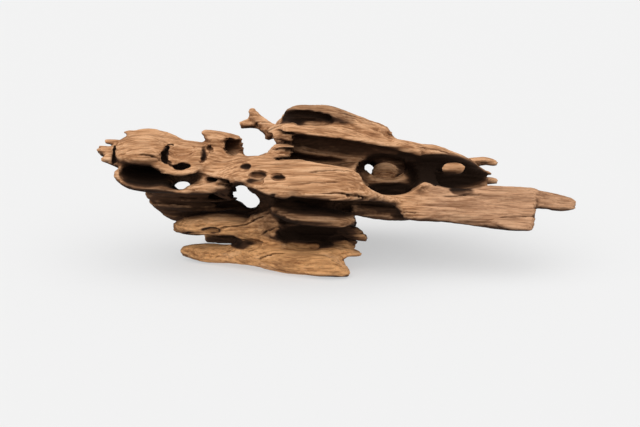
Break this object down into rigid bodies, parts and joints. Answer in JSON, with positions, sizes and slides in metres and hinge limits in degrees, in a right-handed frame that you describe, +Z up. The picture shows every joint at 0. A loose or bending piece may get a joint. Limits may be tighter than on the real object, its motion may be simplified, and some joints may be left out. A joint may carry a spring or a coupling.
{
  "type": "driftwood",
  "caption": "Weathered driftwood root: a ragged block with caves at one end, ledges and a worn ring in the middle, and a long flat slab reaching out at the other end.",
  "frame": {"origin": "on the ground, below the middle of the bounding box", "axes": "+X along the grain, towards the flat slab; -Y towards the foot blade at the front; +Z up"},
  "size_m": [0.4724, 0.181, 0.1476],
  "materials": {
    "worn_wood": "matt, dry, water-worn hardwood with open grain, dark in its hollows"
  },
  "bodies": {
    "root": {"driftwood": "worn_wood"}
  },
  "joints": []
}
